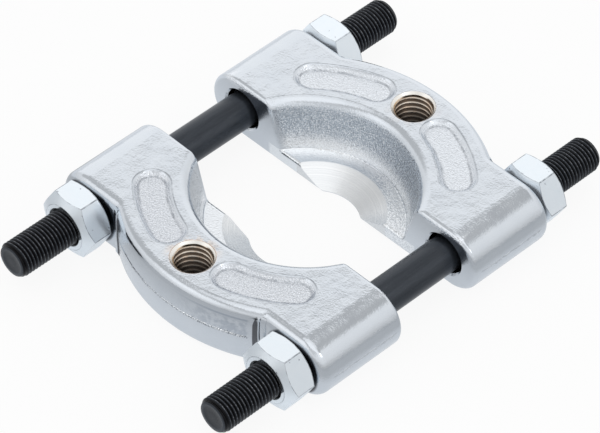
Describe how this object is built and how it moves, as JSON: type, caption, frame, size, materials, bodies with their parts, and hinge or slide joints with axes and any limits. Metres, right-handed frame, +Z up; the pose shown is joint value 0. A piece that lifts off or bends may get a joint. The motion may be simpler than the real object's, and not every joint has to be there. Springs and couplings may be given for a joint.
{
  "type": "bearing separator",
  "caption": "Bearing separator: plated half-ring jaws with knife edges and tapped puller holes, drawn together by nuts on black threaded studs.",
  "frame": {"origin": "centre of the bounding box's bottom, on the jaws' flat underside, midway between the studs and midway along them", "axes": "+X across the two studs to the right, +Y along the studs from the front jaw to the rear jaw, +Z up out of the jaws' cavity side"},
  "size_m": [0.1356, 0.1874, 0.025],
  "materials": {
    "jaws": "satin plated casting with a grainy surface, machined on the knife edge",
    "studs": "black oxide, oiled",
    "nuts": "bright zinc"
  },
  "bodies": {
    "front_jaw": {"front_jaw": "jaws"},
    "rear_jaw": {"rear_jaw": "jaws"},
    "left_stud": {"left_stud": "studs"},
    "right_stud": {"right_stud": "studs"},
    "front_left_nut": {"front_left_nut": "nuts"},
    "front_right_nut": {"front_right_nut": "nuts"},
    "rear_left_nut": {"rear_left_nut": "nuts"},
    "rear_right_nut": {"rear_right_nut": "nuts"}
  },
  "joints": [
    {"name": "rear_jaw_slide", "type": "slide", "parent": "front_jaw", "child": "rear_jaw", "axis": [0, -1, 0], "range_m": [-0.043, 0.036]},
    {"name": "front_left_nut_turn", "type": "hinge", "parent": "front_jaw", "child": "front_left_nut", "pos_m": [-0.05194, -0.0624, 0.0125], "axis": [0, 1, 0], "range_deg": [-5170, 4330]},
    {"name": "front_right_nut_turn", "type": "hinge", "parent": "front_jaw", "child": "front_right_nut", "pos_m": [0.05194, -0.0624, 0.0125], "axis": [0, 1, 0], "range_deg": [-5170, 4330]},
    {"name": "rear_left_nut_turn", "type": "hinge", "parent": "rear_jaw", "child": "rear_left_nut", "pos_m": [-0.05194, 0.0641, 0.0125], "axis": [0, -1, 0], "range_deg": [-5170, 4330]},
    {"name": "rear_right_nut_turn", "type": "hinge", "parent": "rear_jaw", "child": "rear_right_nut", "pos_m": [0.05194, 0.0641, 0.0125], "axis": [0, -1, 0], "range_deg": [-5170, 4330]},
    {"name": "left_stud_slide", "type": "slide", "parent": "front_jaw", "child": "left_stud", "axis": [0, -1, 0], "range_m": [-0.0216, 0.0181]},
    {"name": "right_stud_slide", "type": "slide", "parent": "front_jaw", "child": "right_stud", "axis": [0, -1, 0], "range_m": [-0.0216, 0.0181]}
  ],
  "couplings": [
    {"joint": "front_left_nut_turn", "follows": "rear_jaw_slide", "rad_per_m": 2094.4},
    {"joint": "front_right_nut_turn", "follows": "rear_jaw_slide", "rad_per_m": 2094.4},
    {"joint": "rear_left_nut_turn", "follows": "rear_jaw_slide", "rad_per_m": 2094.4},
    {"joint": "rear_right_nut_turn", "follows": "rear_jaw_slide", "rad_per_m": 2094.4},
    {"joint": "left_stud_slide", "follows": "rear_jaw_slide", "ratio": 0.5},
    {"joint": "right_stud_slide", "follows": "rear_jaw_slide", "ratio": 0.5}
  ]
}
